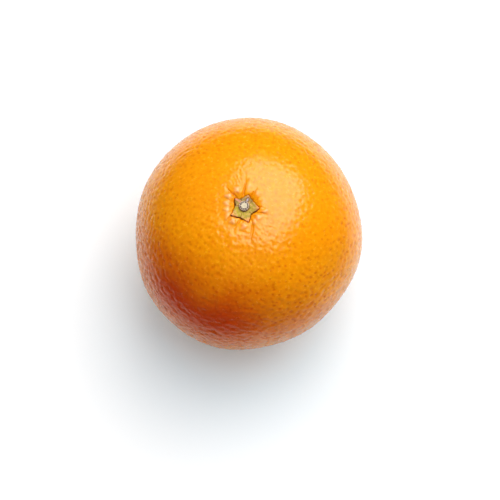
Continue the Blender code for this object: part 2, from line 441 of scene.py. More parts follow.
    def knob_height(self, distance: np.ndarray, bearing: np.ndarray) -> np.ndarray:
        """Height of the knobs: a bell at each knob's own place, bent out of round by waves.

        Args:
            distance: Distance from the stem's axis.
            bearing: Angle round it.

        Returns:
            The height.
        """
        total = np.zeros_like(distance)
        for degrees, away, share in self.knobs:
            aside = distance * np.radians(turn_between(bearing, degrees))
            aside = aside + self.knob_bend * np.sin(distance / self.knob_bend_length + degrees)
            bend = self.knob_bend * np.sin(self.knob_bend_count * bearing + degrees)
            apart = np.hypot(aside, (distance - away * MM + bend) / self.knob_stretch)
            total += share * self.knob_rise * np.exp(-((apart / self.knob_size) ** self.knob_sharpness))
        return total

    def furrow_depth(self, distance: np.ndarray, bearing: np.ndarray) -> np.ndarray:
        """Depth of the furrows: a bell across each line that wanders out from the calyx and runs out.

        Args:
            distance: Distance from the stem's axis.
            bearing: Angle round it.

        Returns:
            The depth.
        """
        width = self.furrow_width + self.furrow_spread * distance
        total = np.zeros_like(distance)
        for degrees, depth, reach, wander in self.furrows:
            share = distance / (reach * MM)
            turned = turn_between(bearing, degrees) - wander * np.sin(share * math.tau)
            aside = distance * np.radians(turned) / width
            run_out = 1 - ramp(share, self.furrow_run_out)
            total += depth * MM * run_out * np.exp(-np.abs(aside) ** self.furrow_sharpness)
        return ramp(distance, self.furrow_run_in) * total

    def fold_strength(self, distance: np.ndarray, bearing: np.ndarray) -> np.ndarray:
        """How strong the folds are: in patches, most to the right below the calyx and above it.

        Args:
            distance: Distance from the stem's axis.
            bearing: Angle round it.

        Returns:
            The strength, from 0 to about 1.
        """
        around = self.fold_least + bells(bearing, self.fold_places)
        (first, second), (short, long) = self.patch_counts, self.patch_lengths
        crossed = np.sin(first * bearing + distance / short) * np.cos(second * bearing - distance / long)
        patches = blend(self.patch_least, 1.0, (0.5 + 0.5 * crossed) ** 2)
        out = ramp(distance, self.fold_run_in) * hump((distance - self.fold_middle) / self.fold_reach)
        return around * patches * out

    def folds(self, distance: np.ndarray, bearing: np.ndarray) -> np.ndarray:
        """Height of the fine folds that spread from the calyx.

        They are waves round the stem that bend one way or the other as they go out.

        Args:
            distance: Distance from the stem's axis.
            bearing: Angle round it.

        Returns:
            The height.
        """
        draw = np.random.default_rng(self.fold_seed)
        total = np.zeros_like(distance)
        for _ in range(self.fold_terms):
            around = int(draw.integers(*self.fold_counts))
            outward = draw.uniform(-self.fold_most_slant, self.fold_most_slant) / MM
            phase = draw.uniform(0, math.tau)
            total += np.cos(around * bearing + outward * distance + phase)
        height = self.fold_height * math.sqrt(2 / self.fold_terms)
        return height * total * self.fold_strength(distance, bearing)

    def edge_line_and_shadow(self, bearing: np.ndarray) -> np.ndarray:
        """How dark the line round the calyx is: a faint brown edge all round, and a painted shadow, dark and
        uneven, along some stretches.

        Args:
            bearing: Angle round the stem's axis.

        Returns:
            The darkness, from 0 to 1.
        """
        dark = self.faint_edge + bells(bearing, self.shadowed_edges, self.shadow_sharpness)
        first, second = self.edge_counts
        crossed = np.sin(first * bearing + self.edge_phase) * np.cos(second * bearing)
        return np.clip(dark * (1 - self.edge_unevenness * (1 - crossed)), 0, 1)

    def socket_share(self, distance: np.ndarray, bearing: np.ndarray) -> np.ndarray:
        """How much of the calyx's socket is cut here. Its wall is an S beyond a gap of uneven width.

        Args:
            distance: Distance from the stem's axis.
            bearing: Angle round it.

        Returns:
            1 on the socket's floor, falling to 0 outside it.
        """
        gap = self.narrow_gap + self.wide_gap * bells(bearing, self.wide_places)
        return 1 - ease((distance - self.star(bearing) - gap) / self.socket_wall)


@dataclass(frozen=True)
class Pores:
    """The oil glands' pores: dimples spread evenly over the peel, closer together near the stem."""

    count: int = 5800
    top_depth: float = 0.07 * MM
    side_depth: float = 0.20 * MM
    rough_depth: float = 0.30 * MM
    # Angles from the stem, in radians, between which the pores deepen.
    deepening: Span = (0.3, 1.1)
    radius: float = 0.7 * MM
    radius_shares: Span = (0.75, 1.3)
    depth_shares: Span = (0.45, 1.15)
    dot_radius: float = 0.52 * MM
    dot_rarity: float = 1.6
    jitter: float = 0.3
    stem_closeness: float = 1.9
    stem_reach: float = 0.42
    seed: int = 3
    steps: int = 2000
    chunk: int = 4000

    def density(self, polar: np.ndarray) -> np.ndarray:
        """How much closer together the pores are than far from the stem."""
        return 1 + self.stem_closeness * hump(polar / self.stem_reach)

    def places(self) -> np.ndarray:
        """The pores' places: a spiral by the golden angle, spaced by the density and then jittered.

        Returns:
            A unit vector for each pore.
        """
        draw = np.random.default_rng(self.seed)
        polar = np.linspace(0, math.pi, self.steps)
        share = self.density(polar) * np.sin(polar)
        passed = np.concatenate([[0], np.cumsum((share[1:] + share[:-1]) / 2)])
        number = np.arange(self.count)
        polar = np.interp((number + 0.5) / self.count * passed[-1], passed, polar)
        golden = math.pi * (3 - math.sqrt(5))
        middles = unit_points(polar, number * golden)
        spacing = math.sqrt(4 * math.pi / self.count) / np.sqrt(self.density(polar))
        middles += draw.normal(size=middles.shape) * self.jitter * spacing[:, None]
        return middles / np.linalg.norm(middles, axis=1, keepdims=True)

    def depth(self, polar: np.ndarray, rough: np.ndarray) -> np.ndarray:
        """Depth of a pore: shallow at the top, deeper on the sides and deepest where the peel is rough."""
        side = blend(self.side_depth, self.rough_depth, rough)
        return blend(self.top_depth, side, ramp(polar, self.deepening))

    def dimples(
        self, polar: np.ndarray, bearing: np.ndarray, scale: float
    ) -> tuple[np.ndarray, np.ndarray]:
        """How deep in a pore each point is, and how dark its pore's middle is there.

        The depth is (1 - (distance / radius)^2)^2 about the nearest pore, with a radius and a depth
        drawn for each pore. A pore's dark middle is 1 - (distance / dot radius)^2, times a darkness
        drawn so that few pores are very dark.

        Args:
            polar: Angle from the stem.
            bearing: Angle round the stem's axis.
            scale: The fruit's radius, which turns angles into lengths.

        Returns:
            The depths as shares and the darkness of the pores' middles, in the shape of the angles.
        """
        draw = np.random.default_rng(self.seed + 1)
        middles = self.places().astype(np.float32)
        radii = self.radius * draw.uniform(*self.radius_shares, self.count)
        depths = draw.uniform(*self.depth_shares, self.count)
        darkness = draw.random(self.count) ** self.dot_rarity
        points = unit_points(polar, bearing).reshape(-1, 3).astype(np.float32)
        nearest = np.empty(len(points), int)
        closeness = np.empty(len(points))
        for start in range(0, len(points), self.chunk):
            part = slice(start, start + self.chunk)
            match = points[part] @ middles.T
            nearest[part] = match.argmax(axis=1)
            closeness[part] = match.max(axis=1)
        apart = np.sqrt(np.maximum(2 - 2 * closeness, 0)) * scale
        share = np.clip(1 - np.square(apart / radii[nearest]), 0, None)
        dot = darkness[nearest] * np.clip(1 - np.square(apart / self.dot_radius), 0, None)
        return (depths[nearest] * share**2).reshape(polar.shape), dot.reshape(polar.shape)


@dataclass(frozen=True)
class Lumps:
    """The peel's unevenness: waves that cross it in every direction, higher on the sides."""

    waves: int = 90
    lengths: Span = (1.3 * MM, 2.9 * MM)
    top_height: float = 0.016 * MM
    rough_height: float = 0.034 * MM
    side_height: float = 0.032 * MM
    rough_side_height: float = 0.052 * MM
    rough_way: Triple = (-0.35, -0.94, 0.0)
    rough_span: Span = (-0.05, 0.42)
    # Angles from the stem, in radians, of the side and of the low part of the peel.
    side_span: Span = (math.radians(35), math.radians(72))
    low_span: Span = (math.radians(82), math.radians(112))
    low_roughness: float = 0.8
    seed: int = 8

    def roughness(self, points: np.ndarray, polar: np.ndarray) -> np.ndarray:
        """How rough the peel is: smooth but for one side, where it is 1, and low down, where it nears 1."""
        toward = points @ np.array(self.rough_way) / np.linalg.norm(points, axis=-1)
        return np.maximum(ramp(toward, self.rough_span), self.low_roughness * ramp(polar, self.low_span))

    def heights(self, points: np.ndarray, polar: np.ndarray, rough: np.ndarray) -> np.ndarray:
        """Height at each point: a sum of waves of random direction, length and phase.

        Args:
            points: The bare peel's points.
            polar: Angle from the stem.
            rough: How rough the peel is.

        Returns:
            The heights, in the shape of the angles.
        """
        draw = np.random.default_rng(self.seed)
        ways = draw.normal(size=(self.waves, 3))
        ways /= np.linalg.norm(ways, axis=1, keepdims=True)
        lengths = draw.uniform(*self.lengths, self.waves)
        phases = draw.uniform(0, math.tau, self.waves)
        turns = points @ (ways * (math.tau / lengths)[:, None]).T + phases
        total = math.sqrt(2 / self.waves) * np.sin(turns).sum(axis=-1)
        top = blend(self.top_height, self.rough_height, rough)
        side = blend(self.side_height, self.rough_side_height, rough)
        return total * blend(top, side, ramp(polar, self.side_span))


class Tree:
    """A node tree of a material, a world or a group, with short ways to add to it."""

    def __init__(self, tree: bpy.types.NodeTree) -> None:
        """Keeps the tree."""
        self.tree = tree

    def feed(self, node: bpy.types.Node, inputs: dict) -> None:
        """Gives some inputs of a node what they need.

        Args:
            node: The node.
            inputs: A value or another node's socket for each input, by its name or number.
        """
        for name, value in inputs.items():
            if isinstance(value, bpy.types.NodeSocket):
                self.tree.links.new(value, node.inputs[name])
            else:
                node.inputs[name].default_value = value

    def node(self, kind: str, inputs: dict | None = None, **settings: object) -> bpy.types.Node:
        """Adds a node.

        Args:
            kind: Blender's name for the node, without "ShaderNode".
            inputs: A value or another node's socket for each of its inputs, by name or number.
            **settings: The node's own settings.

        Returns:
            The node.
        """
        made = self.tree.nodes.new("ShaderNode" + kind)
        for name, value in settings.items():
            setattr(made, name, value)
        self.feed(made, inputs or {})
        return made

    def place(self) -> bpy.types.NodeSocket:
        """The point's own place, in metres."""
        return self.node("TexCoord").outputs["Object"]

    def measure(self, operation: str, other: Triple) -> bpy.types.NodeSocket:
        """A number from the point's place and a fixed vector, by one of Blender's vector operations."""
        return self.node("VectorMath", {0: self.place(), 1: other}, operation=operation).outputs["Value"]

    def noise(self, scale: float, detail: float) -> bpy.types.NodeSocket:
        """Soft noise, of so many waves in a metre."""
        inputs = {"Vector": self.place(), "Scale": scale, "Detail": detail}
        return self.node("TexNoise", inputs).outputs["Fac"]

    def mask(self, name: str) -> bpy.types.NodeSocket:
        """A mask that the mesh carries."""
        return self.node("Attribute", attribute_name=name).outputs["Fac"]

    def maths(self, operation: str, first: object, second: object) -> bpy.types.NodeSocket:
        """Two numbers worked out by one of Blender's Math operations."""
        return self.node("Math", {0: first, 1: second}, operation=operation).outputs[0]

    def mix(
        self, share: object, first: object, second: object, blend_type: str = "MIX"
    ) -> bpy.types.NodeSocket:
        """A blend of two colours.

        Args:
            share: How much of the second colour, as a number or a socket.
            first: A colour or a socket.
            second: A colour or a socket.
            blend_type: Blender's name for the way they mix.

        Returns:
            The blend's socket.
        """
        inputs = {0: share, 6: first, 7: second}
        return self.node("Mix", inputs, data_type="RGBA", blend_type=blend_type).outputs[2]

    def spread(self, value: object, span: Span, to: Span, smooth: bool = False) -> bpy.types.NodeSocket:
        """A number carried from one range to another and held inside it.

        Args:
            value: The number or its socket.
            span: The range that it comes from.
            to: What the range's start and end become.
            smooth: Whether it eases in and out, in place of an even slope.

        Returns:
            The result's socket.
        """
        inputs = {"Value": value, "From Min": span[0], "From Max": span[1]}
        inputs.update({"To Min": to[0], "To Max": to[1]})
        kind = "SMOOTHSTEP" if smooth else "LINEAR"
        return self.node("MapRange", inputs, interpolation_type=kind).outputs["Result"]

    def cover(self, ground: object, coats: tuple[Coat, ...]) -> bpy.types.NodeSocket:
        """Lays colours over a ground in order, each where its mask says.

        Args:
            ground: A colour or a socket.
            coats: The colours with their masks.

        Returns:
            The covered colour's socket.
        """
        for coat in coats:
            share = self.maths("MULTIPLY", self.mask(coat.mask), coat.strength)
            ground = self.mix(share, ground, coat.colour)
        return ground


def grain_group() -> bpy.types.NodeTree:
    """The group for fine living grain: soft noise over cells, as a mask and as a height.

    Returns:
        The group, with the inputs Size (waves in a metre) and Cells (share of the cells).
    """
    group = bpy.data.node_groups.new("Grain", "ShaderNodeTree")
    for name, way in {"Size": "INPUT", "Cells": "INPUT", "Mask": "OUTPUT", "Height": "OUTPUT"}.items():
        group.interface.new_socket(name, in_out=way, socket_type="NodeSocketFloat")
    tree = Tree(group)
    given = group.nodes.new("NodeGroupInput").outputs
    noise = tree.node(
        "TexNoise", {"Vector": tree.place(), "Scale": given["Size"], "Detail": 4.0, "Roughness": 0.55}
    ).outputs["Fac"]
    cells = tree.node("TexVoronoi", {"Vector": tree.place(), "Scale": given["Size"]}, feature="F1")
    mixed = tree.node("Mix", {0: given["Cells"], 2: noise, 3: cells.outputs["Distance"]})
    tree.feed(group.nodes.new("NodeGroupOutput"), {"Mask": noise, "Height": mixed.outputs[0]})
    return group


def new_material(name: str) -> tuple[bpy.types.Material, Tree, bpy.types.Node]:
    """An empty material.

    Args:
        name: The finish's name.

    Returns:
        The material, its tree, and its Principled shader.
    """
    material = bpy.data.materials.new(name)
    material.use_nodes = True
    return material, Tree(material.node_tree), material.node_tree.nodes["Principled BSDF"]


def colour(red: float, green: float, blue: float) -> tuple[float, float, float, float]:
    """An opaque colour."""
    return (red, green, blue, 1.0)


@dataclass(frozen=True)
class Coat:
    """A colour that lies over a finish where a mask of the mesh says."""

    mask: str
    colour: tuple
    strength: float = 1.0


@dataclass(frozen=True)
class Grain:
    """How a finish uses the grain group: its size, and what it does to the gloss and the relief."""

    size: float
    cells: float
    roughness: Span
    strength: float = 0.5
    height: float = 0.06 * MM

    def apply(
        self, tree: Tree, shader: bpy.types.Node, group: bpy.types.NodeTree, duller: object = 0.0
    ) -> bpy.types.NodeSocket:
        """Places the group in a material, and feeds the shader's roughness and normal from it.

        Args:
            tree: The material's tree.
            shader: Its shader.
            group: The grain group.
            duller: A number or a socket to add to the roughness.

        Returns:
            The grain's mask.
        """
        grain = tree.node("Group", {"Size": self.size, "Cells": self.cells}, node_tree=group).outputs
        rough = tree.maths("ADD", tree.spread(grain["Mask"], NOISE_MOST, self.roughness), duller)
        inputs = {"Height": grain["Height"], "Strength": self.strength, "Distance": self.height}
        bump = tree.node("Bump", inputs).outputs["Normal"]
        tree.feed(shader, {"Roughness": rough, "Normal": bump})
        return grain["Mask"]


@dataclass(frozen=True)
class PeelFinish:
    """Waxy orange peel with darker pores, and painted light: a darker, redder painted shade on the side away
    from the key light, painted shade in the furrows, painted highlights on the knobs and a painted shadow
    round the calyx.
    """

    sunny: tuple = colour(0.92, 0.35, 0.001)
    # Painted shade: a darker, redder copy of the orange for the side away from the key light.
    painted_shade_orange: tuple = colour(0.60, 0.07, 0.003)
    coats: tuple[Coat, ...] = (
        Coat("pore", colour(0.58, 0.12, 0.003), 0.45),
        Coat("dot", colour(0.61, 0.08, 0.001), 0.72),
        # Painted highlight: pale peach on the knobs' tops, where the key light glints.
        Coat("knob", colour(0.95, 0.47, 0.22)),
        # Painted shade: darker orange down the furrows.
        Coat("furrow", colour(0.76, 0.26, 0.001)),
        # Painted shadow: dark red-brown in the gap round the calyx, faint all round and dark where shadow
        # falls.
        Coat("gap", colour(0.36, 0.055, 0.014)),
        Coat("scar", colour(0.16, 0.075, 0.03)),
    )
    # Where the painted shade lies, how it fades and how uneven its edge is.
    shade_way: Triple = (-0.376, -0.738, -0.559)
    shade_span: Span = (-25.5 * MM, -3.0 * MM)
    shade_noise: float = 55.0
    shade_unevenness: Span = (-4.0 * MM, 4.0 * MM)
    shade_heights: Span = (34.0 * MM, 52.0 * MM)
    shade_by_height: Span = (0.35, 1.0)
    shade_aside: Triple = (0.875, -0.485, 0.0)
    shade_widths: Span = (9.0 * MM, 28.0 * MM)
    shade_by_width: Span = (1.0, 0.55)
    mottle_span: Span = (0.35, 0.65)
    mottle_red: Span = (0.96, 1.03)
    mottle_rest: Span = (0.88, 1.08)
    grain: Grain = Grain(900.0, 0.6, (0.165, 0.295))
    gap_dullness: float = 0.5
    refraction: float = 1.5
    coat_noise: float = 700.0
    coat_span: Span = (0.38, 0.62)
    coat_weights: Span = (0.05, 0.42)
    coat_roughness: float = 0.19
    haze: float = 0.10
    haze_roughness: float = 0.23
    through: float = 0.2
    # How far red, green and blue light goes through the peel, as shares of the depth.
    through_radius: Triple = (1.0, 0.35, 0.1)
    through_depth: float = 2.5 * MM

    def painted_shade(self, tree: Tree) -> bpy.types.NodeSocket:
        """How much painted shade, darker and redder, lies on the peel: most on the side away from the key
        light, less low down and far to either hand.

        Args:
            tree: The material's tree.

        Returns:
            The share's socket.
        """
        uneven = tree.spread(tree.noise(self.shade_noise, detail=3.0), NOISE_MOST, self.shade_unevenness)
        reached = tree.maths("ADD", tree.measure("DOT_PRODUCT", self.shade_way), uneven)
        side = tree.spread(reached, self.shade_span, (0.0, 1.0), smooth=True)
        height = tree.node("SeparateXYZ", {0: tree.place()}).outputs["Z"]
        high = tree.spread(height, self.shade_heights, self.shade_by_height)
        aside = tree.maths("ABSOLUTE", tree.measure("DOT_PRODUCT", self.shade_aside), 0.0)
        near = tree.spread(aside, self.shade_widths, self.shade_by_width, smooth=True)
        return tree.maths("MULTIPLY", tree.maths("MULTIPLY", side, high), near)

    def base_colour(self, tree: Tree, grain: bpy.types.NodeSocket) -> bpy.types.NodeSocket:
        """The peel's colour, from its painted shade, its mottling and the masks, some of which paint shade,
        shadow and highlights.

        Args:
            tree: The material's tree.
            grain: The grain's mask.

        Returns:
            The colour's socket.
        """
        ground = tree.mix(self.painted_shade(tree), self.sunny, self.painted_shade_orange)
        red = tree.spread(grain, self.mottle_span, self.mottle_red)
        rest = tree.spread(grain, self.mottle_span, self.mottle_rest)
        mottle = tree.node("CombineColor", {0: red, 1: rest, 2: rest}).outputs[0]
        return tree.cover(tree.mix(1.0, ground, mottle, "MULTIPLY"), self.coats)

    def material(self, group: bpy.types.NodeTree) -> bpy.types.Material:
        """Builds the finish.

        Args:
            group: The grain group.

        Returns:
            The material.
        """
        material, tree, shader = new_material("peel")
        duller = tree.maths("MULTIPLY", tree.mask("gap"), self.gap_dullness)
        grain = self.grain.apply(tree, shader, group, duller)
        patchy = tree.noise(self.coat_noise, detail=2.0)
        inputs = {
            "Base Color": self.base_colour(tree, grain),
            "IOR": self.refraction,
            "Coat Weight": tree.spread(patchy, self.coat_span, self.coat_weights),
            "Coat Roughness": self.coat_roughness,
            "Sheen Weight": self.haze,
            "Sheen Roughness": self.haze_roughness,
            "Subsurface Weight": self.through,
            "Subsurface Radius": self.through_radius,
            "Subsurface Scale": self.through_depth,
        }
        tree.feed(shader, inputs)
        return material


@dataclass
class Peel:
    """The fruit's peel: its bare form with the stem end's relief, lumps, pores and foot."""

    finish: PeelFinish = field(default_factory=PeelFinish)
    form: FruitForm = field(default_factory=FruitForm)
    stem: StemEnd = field(default_factory=StemEnd)
    pores: Pores = field(default_factory=Pores)
    lumps: Lumps = field(default_factory=Lumps)
    columns: int = 392
    steps: int = 6000
    # Distance from the stem along the peel, and the space between rings there, in millimetres.
    ring_spacing: tuple[tuple[float, float], ...] = (
        (0.0, 0.6),
        (2.0, 0.5),
        (2.5, 0.16),
        (6.6, 0.18),
        (12.0, 0.30),
        (22.0, 0.42),
        (34.0, 0.50),
        (98.0, 0.54),
        (106.0, 1.1),
        (119.0, 1.3),
    )
    stem_pore_span: Span = (5.5 * MM, 9.5 * MM)
    foot_pore_span: Span = (9.0 * MM, 12.0 * MM)
    scar_radius: float = 2.6 * MM
    scar_depth: float = 0.55 * MM
    # Angles from the stem, in radians, along which the pores' tints come and go, and their strengths.
    pore_tint_span: Span = (0.6, 1.35)
    pore_tint_least: float = 0.12
    dot_tint_span: Span = (0.35, 0.95)
    dot_tint_least: float = 0.3
    dot_fading: Span = (1.2, 1.8)
    dot_faded: float = 0.6
    dot_rough_more: float = 0.45
    # Painted highlight on the knobs' tops: the share of a knob's rise that takes it in full, its curve and
    # its strength.
    knob_highlight: Triple = (1.1, 1.6, 0.8)
    # Painted shade in the furrows: the depth that takes it in full, and its strength.
    furrow_shade_depth: float = 0.45 * MM
    furrow_shade: float = 0.9
    gap_shadow_span: Span = (0.15, 0.85)
    gap_shadow_start: float = 0.97
    scar_tint_span: Span = (0.45, 0.75)
    offset: Vector = field(default_factory=Vector)

    def ring_angles(self) -> np.ndarray:
        """Polar angle of each ring: rings fall where the count of spacings since the stem is whole.

        Returns:
            The angles, from the stem down.
        """
        away, spacing = np.array(self.ring_spacing).T
        along = np.linspace(0, math.pi * self.form.mean_radius / MM, self.steps)
        passed = np.cumsum((along[1] - along[0]) / np.interp(along, away, spacing))
        rings = np.arange(1, int(passed[-1]))
        return np.interp(rings, passed, along) * MM / self.form.mean_radius

    def hollow(self, distance: np.ndarray) -> np.ndarray:
        """Height of the hollow's bare bed above the middle, at a distance from the stem's axis."""
        return self.form.height(distance, self.form.top_half) + self.stem.bed(distance)

    def relief(
        self, points: np.ndarray, polar: np.ndarray, bearing: np.ndarray
    ) -> tuple[np.ndarray, np.ndarray, Masks]:
        """The heights and masks of the peel's relief.

        Args:
            points: The bare peel's points.
            polar: Angle from the stem.
            bearing: Angle round the stem's axis.

        Returns:
            The height straight up, the height away from the middle, and the masks.
        """
        above = polar < math.pi / 2
        across = points[..., 0] - np.where(above, self.form.stem_offset, 0.0)
        distance = np.hypot(across, points[..., 1])
        from_stem = np.where(above, distance, FAR)
        from_foot = np.where(above, FAR, distance)
        furrow = self.stem.furrow_depth(from_stem, bearing)
        knobs = self.stem.knob_height(from_stem, bearing)
        socket = self.stem.socket_share(from_stem, bearing)
        scar = 1 - ramp(from_foot, (0.0, self.scar_radius))
        lift = self.stem.bed(from_stem) + knobs - furrow - self.stem.socket_depth * socket
        lift += np.maximum(-self.form.foot_depth() - points[..., 2], 0.0) + self.scar_depth * scar

        shown = ramp(from_stem, self.stem_pore_span) * ramp(from_foot, self.foot_pore_span)
        rough = self.lumps.roughness(points, polar)
        pore, dot = self.pores.dimples(polar, bearing, self.form.mean_radius)
        out = self.lumps.heights(points, polar, rough) - self.pores.depth(polar, rough) * pore
        out = out * shown + self.stem.folds(from_stem, bearing)

        dot = dot * shown * blend(self.dot_tint_least, 1.0, ramp(polar, self.dot_tint_span))
        dot = dot * (1 + self.dot_rough_more * rough) * (1 - self.dot_faded * ramp(polar, self.dot_fading))
        knob_full, knob_curve, knob_most = self.knob_highlight
        # The knobs' tops get a painted highlight.
        knob = np.clip(knobs / (knob_full * self.stem.knob_rise), 0, 1) ** knob_curve
        # The gap round the calyx gets a painted shadow, only beyond the calyx's edge.
        edge = (from_stem > self.stem.star(bearing) * self.gap_shadow_start) * self.stem.edge_line_and_shadow(bearing)
        pore_tint = blend(self.pore_tint_least, 1.0, ramp(polar, self.pore_tint_span))
        return lift, out, {
            "pore": np.clip(pore * shown, 0, 1) * pore_tint,
            "dot": np.clip(dot, 0, 1),
            "knob": knob * knob_most,
            "furrow": np.clip(furrow / self.furrow_shade_depth, 0, 1) * self.furrow_shade,
            "gap": ramp(socket, self.gap_shadow_span) * edge,
            "scar": ramp(scar, self.scar_tint_span),
        }

    def build(self, group: bpy.types.NodeTree) -> None:
        """Makes the peel, and finds how far the pieces are carried to stand where the solids do.

        Args:
            group: The grain group.
        """
        polar, bearing = grid(self.ring_angles(), self.columns)
        points = self.form.surface(polar, bearing)
        lift, out, masks = self.relief(points, polar, bearing)
        points += points / np.linalg.norm(points, axis=-1, keepdims=True) * out[..., None]
        points[..., 2] += lift
        low, high = (np.array(corner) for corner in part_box(Node.FRUIT.value))
        shift = (low + high - points.min(axis=(0, 1)) - points.max(axis=(0, 1))) / 2
        self.offset = Vector((shift[0], shift[1], low[2] + self.form.foot_depth()))
        points += np.array(self.offset)
        add_piece("orange_peel", points, masks, self.finish.material(group), Node.FRUIT)


@dataclass(frozen=True)
class CalyxFinish:
    """Sepals of yellow-green to grey-olive, with pinkish tips and thin brown edges, and a painted shadow
    along some edges and round the stub's foot.
    """

    green: tuple = colour(0.50, 0.41, 0.015)
    olive: tuple = colour(0.40, 0.28, 0.10)
    tan: tuple = colour(0.70, 0.42, 0.16)
    coats: tuple[Coat, ...] = (
        Coat("vein", colour(0.25, 0.15, 0.045), 0.5),
        Coat("seam", colour(0.25, 0.15, 0.045), 0.5),
        Coat("tip", colour(0.84, 0.38, 0.15)),
        Coat("strip", colour(0.66, 0.29, 0.22)),
        # A faint brown edge round the calyx, with a painted shadow along some stretches of it and round the
        # stub's foot.
        Coat("rim", colour(0.22, 0.05, 0.02)),
    )
    blotch_noise: float = 1100.0
    # The blotches' noise, and the share of tan or olive that it brings.
    tan_blotches: tuple[Span, Span] = ((0.50, 0.62), (0.0, 0.9))
    olive_blotches: tuple[Span, Span] = ((0.34, 0.47), (0.9, 0.0))
    olive_mottle: tuple[Span, Span] = ((0.35, 0.7), (0.0, 0.4))
    grain: Grain = Grain(2600.0, 0.35, (0.54, 0.74))
    gloss: float = 0.3

    def material(self, group: bpy.types.NodeTree) -> bpy.types.Material:
        """Builds the finish.

        Args:
            group: The grain group.

        Returns:
            The material.
        """
        material, tree, shader = new_material("calyx")
        grain = self.grain.apply(tree, shader, group)
        blotch = tree.noise(self.blotch_noise, detail=3.0)
        ground = tree.mix(tree.mask("tone"), self.green, self.olive)
        ground = tree.mix(tree.spread(blotch, *self.tan_blotches), ground, self.tan)
        ground = tree.mix(tree.spread(blotch, *self.olive_blotches), ground, self.olive)
        ground = tree.mix(tree.spread(grain, *self.olive_mottle), ground, self.olive)
        base = tree.cover(ground, self.coats)
        tree.feed(shader, {"Base Color": base, "Specular IOR Level": self.gloss})
        return material


